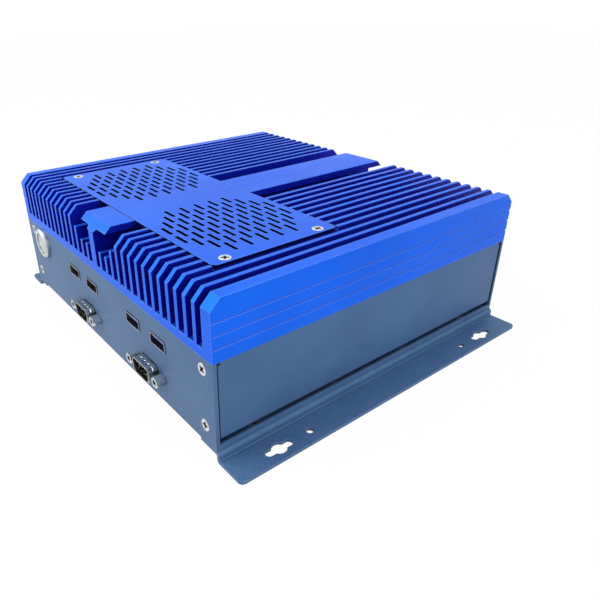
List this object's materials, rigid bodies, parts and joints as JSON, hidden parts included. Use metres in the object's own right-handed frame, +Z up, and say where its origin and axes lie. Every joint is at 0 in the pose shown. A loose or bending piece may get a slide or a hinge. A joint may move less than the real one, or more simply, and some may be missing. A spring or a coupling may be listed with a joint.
{
  "type": "fanless industrial pc",
  "caption": "Fanless industrial computer: finned aluminium heatsink with a slotted vent plate over a shallow chassis with side mounting brackets, ports and a push button.",
  "frame": {"origin": "centred under the case, on the plane that the two mounting brackets stand on", "axes": "+X to the right seen from the front port panel, +Y from the front panel to the rear, +Z up through the fins"},
  "size_m": [0.2438, 0.2064, 0.076],
  "materials": {
    "blue_anodised": "anodised, satin",
    "blue_plate": "anodised, satin",
    "steel_screw": "nickel plated",
    "blue_panel": "fine matt coat",
    "blue_sheet": "fine matt coat",
    "zinc_steel": "zinc plated",
    "port_steel": "tin plated",
    "black_insert": "moulded",
    "blue_insert": "moulded",
    "gold_pin": "gold plated",
    "bright_steel": "turned, nickel plated",
    "black_inlet": "moulded",
    "green_board": "solder mask",
    "processor_black": "moulded",
    "grey_pad": "soft",
    "bare_aluminium": "milled"
  },
  "bodies": {
    "computer": {"analogue_video_port_insert": "blue_insert", "analogue_video_port_shell": "port_steel", "base_tray": "blue_sheet", "board_link": "black_insert", "board_screws": "steel_screw", "bracket_screws": "steel_screw", "button_housing": "bright_steel", "button_nut": "bright_steel", "button_switch": "black_insert", "coin_cell": "bright_steel", "coin_cell_holder": "black_insert", "digital_video_port": "port_steel", "drive_screws": "steel_screw", "front_panel": "blue_panel", "heat_block": "bare_aluminium", "heat_block_screws": "steel_screw", "heatsink": "blue_anodised", "heatsink_screws": "steel_screw", "jackscrews": "bright_steel", "left_bracket": "blue_sheet", "left_side_panel": "blue_sheet", "main_board": "green_board", "main_board_posts": "zinc_steel", "memory_module": "green_board", "memory_socket": "black_insert", "network_port_1": "port_steel", "network_port_2": "port_steel", "panel_screws": "steel_screw", "power_inlet": "black_inlet", "power_inlet_nut": "bright_steel", "power_inlet_pin": "gold_pin", "processor": "processor_black", "rear_panel": "blue_panel", "right_bracket": "blue_sheet", "right_side_panel": "blue_sheet", "serial_board": "green_board", "serial_board_posts": "zinc_steel", "serial_port_1_insert": "black_insert", "serial_port_1_shell": "port_steel", "serial_port_2_insert": "black_insert", "serial_port_2_shell": "port_steel", "serial_port_pins": "gold_pin", "side_panel_spacers": "zinc_steel", "storage_card": "green_board", "storage_card_post": "zinc_steel", "storage_card_screw": "steel_screw", "storage_card_socket": "black_insert", "storage_drive": "bare_aluminium", "thermal_pad": "grey_pad", "usb_port_1_insert": "black_insert", "usb_port_1_shell": "port_steel", "usb_port_2_insert": "black_insert", "usb_port_2_shell": "port_steel", "usb_port_3_insert": "blue_insert", "usb_port_3_shell": "port_steel", "usb_port_4_insert": "blue_insert", "usb_port_4_shell": "port_steel", "vent_plate": "blue_plate", "vent_plate_screws": "steel_screw"},
    "button": {"button_cap": "bright_steel"}
  },
  "joints": [
    {"name": "button_press", "type": "slide", "parent": "computer", "child": "button", "axis": [0, 1, 0], "range_m": [0, 0.0025], "stiffness_N_per_m": 800, "springref_m": -0.0015}
  ]
}
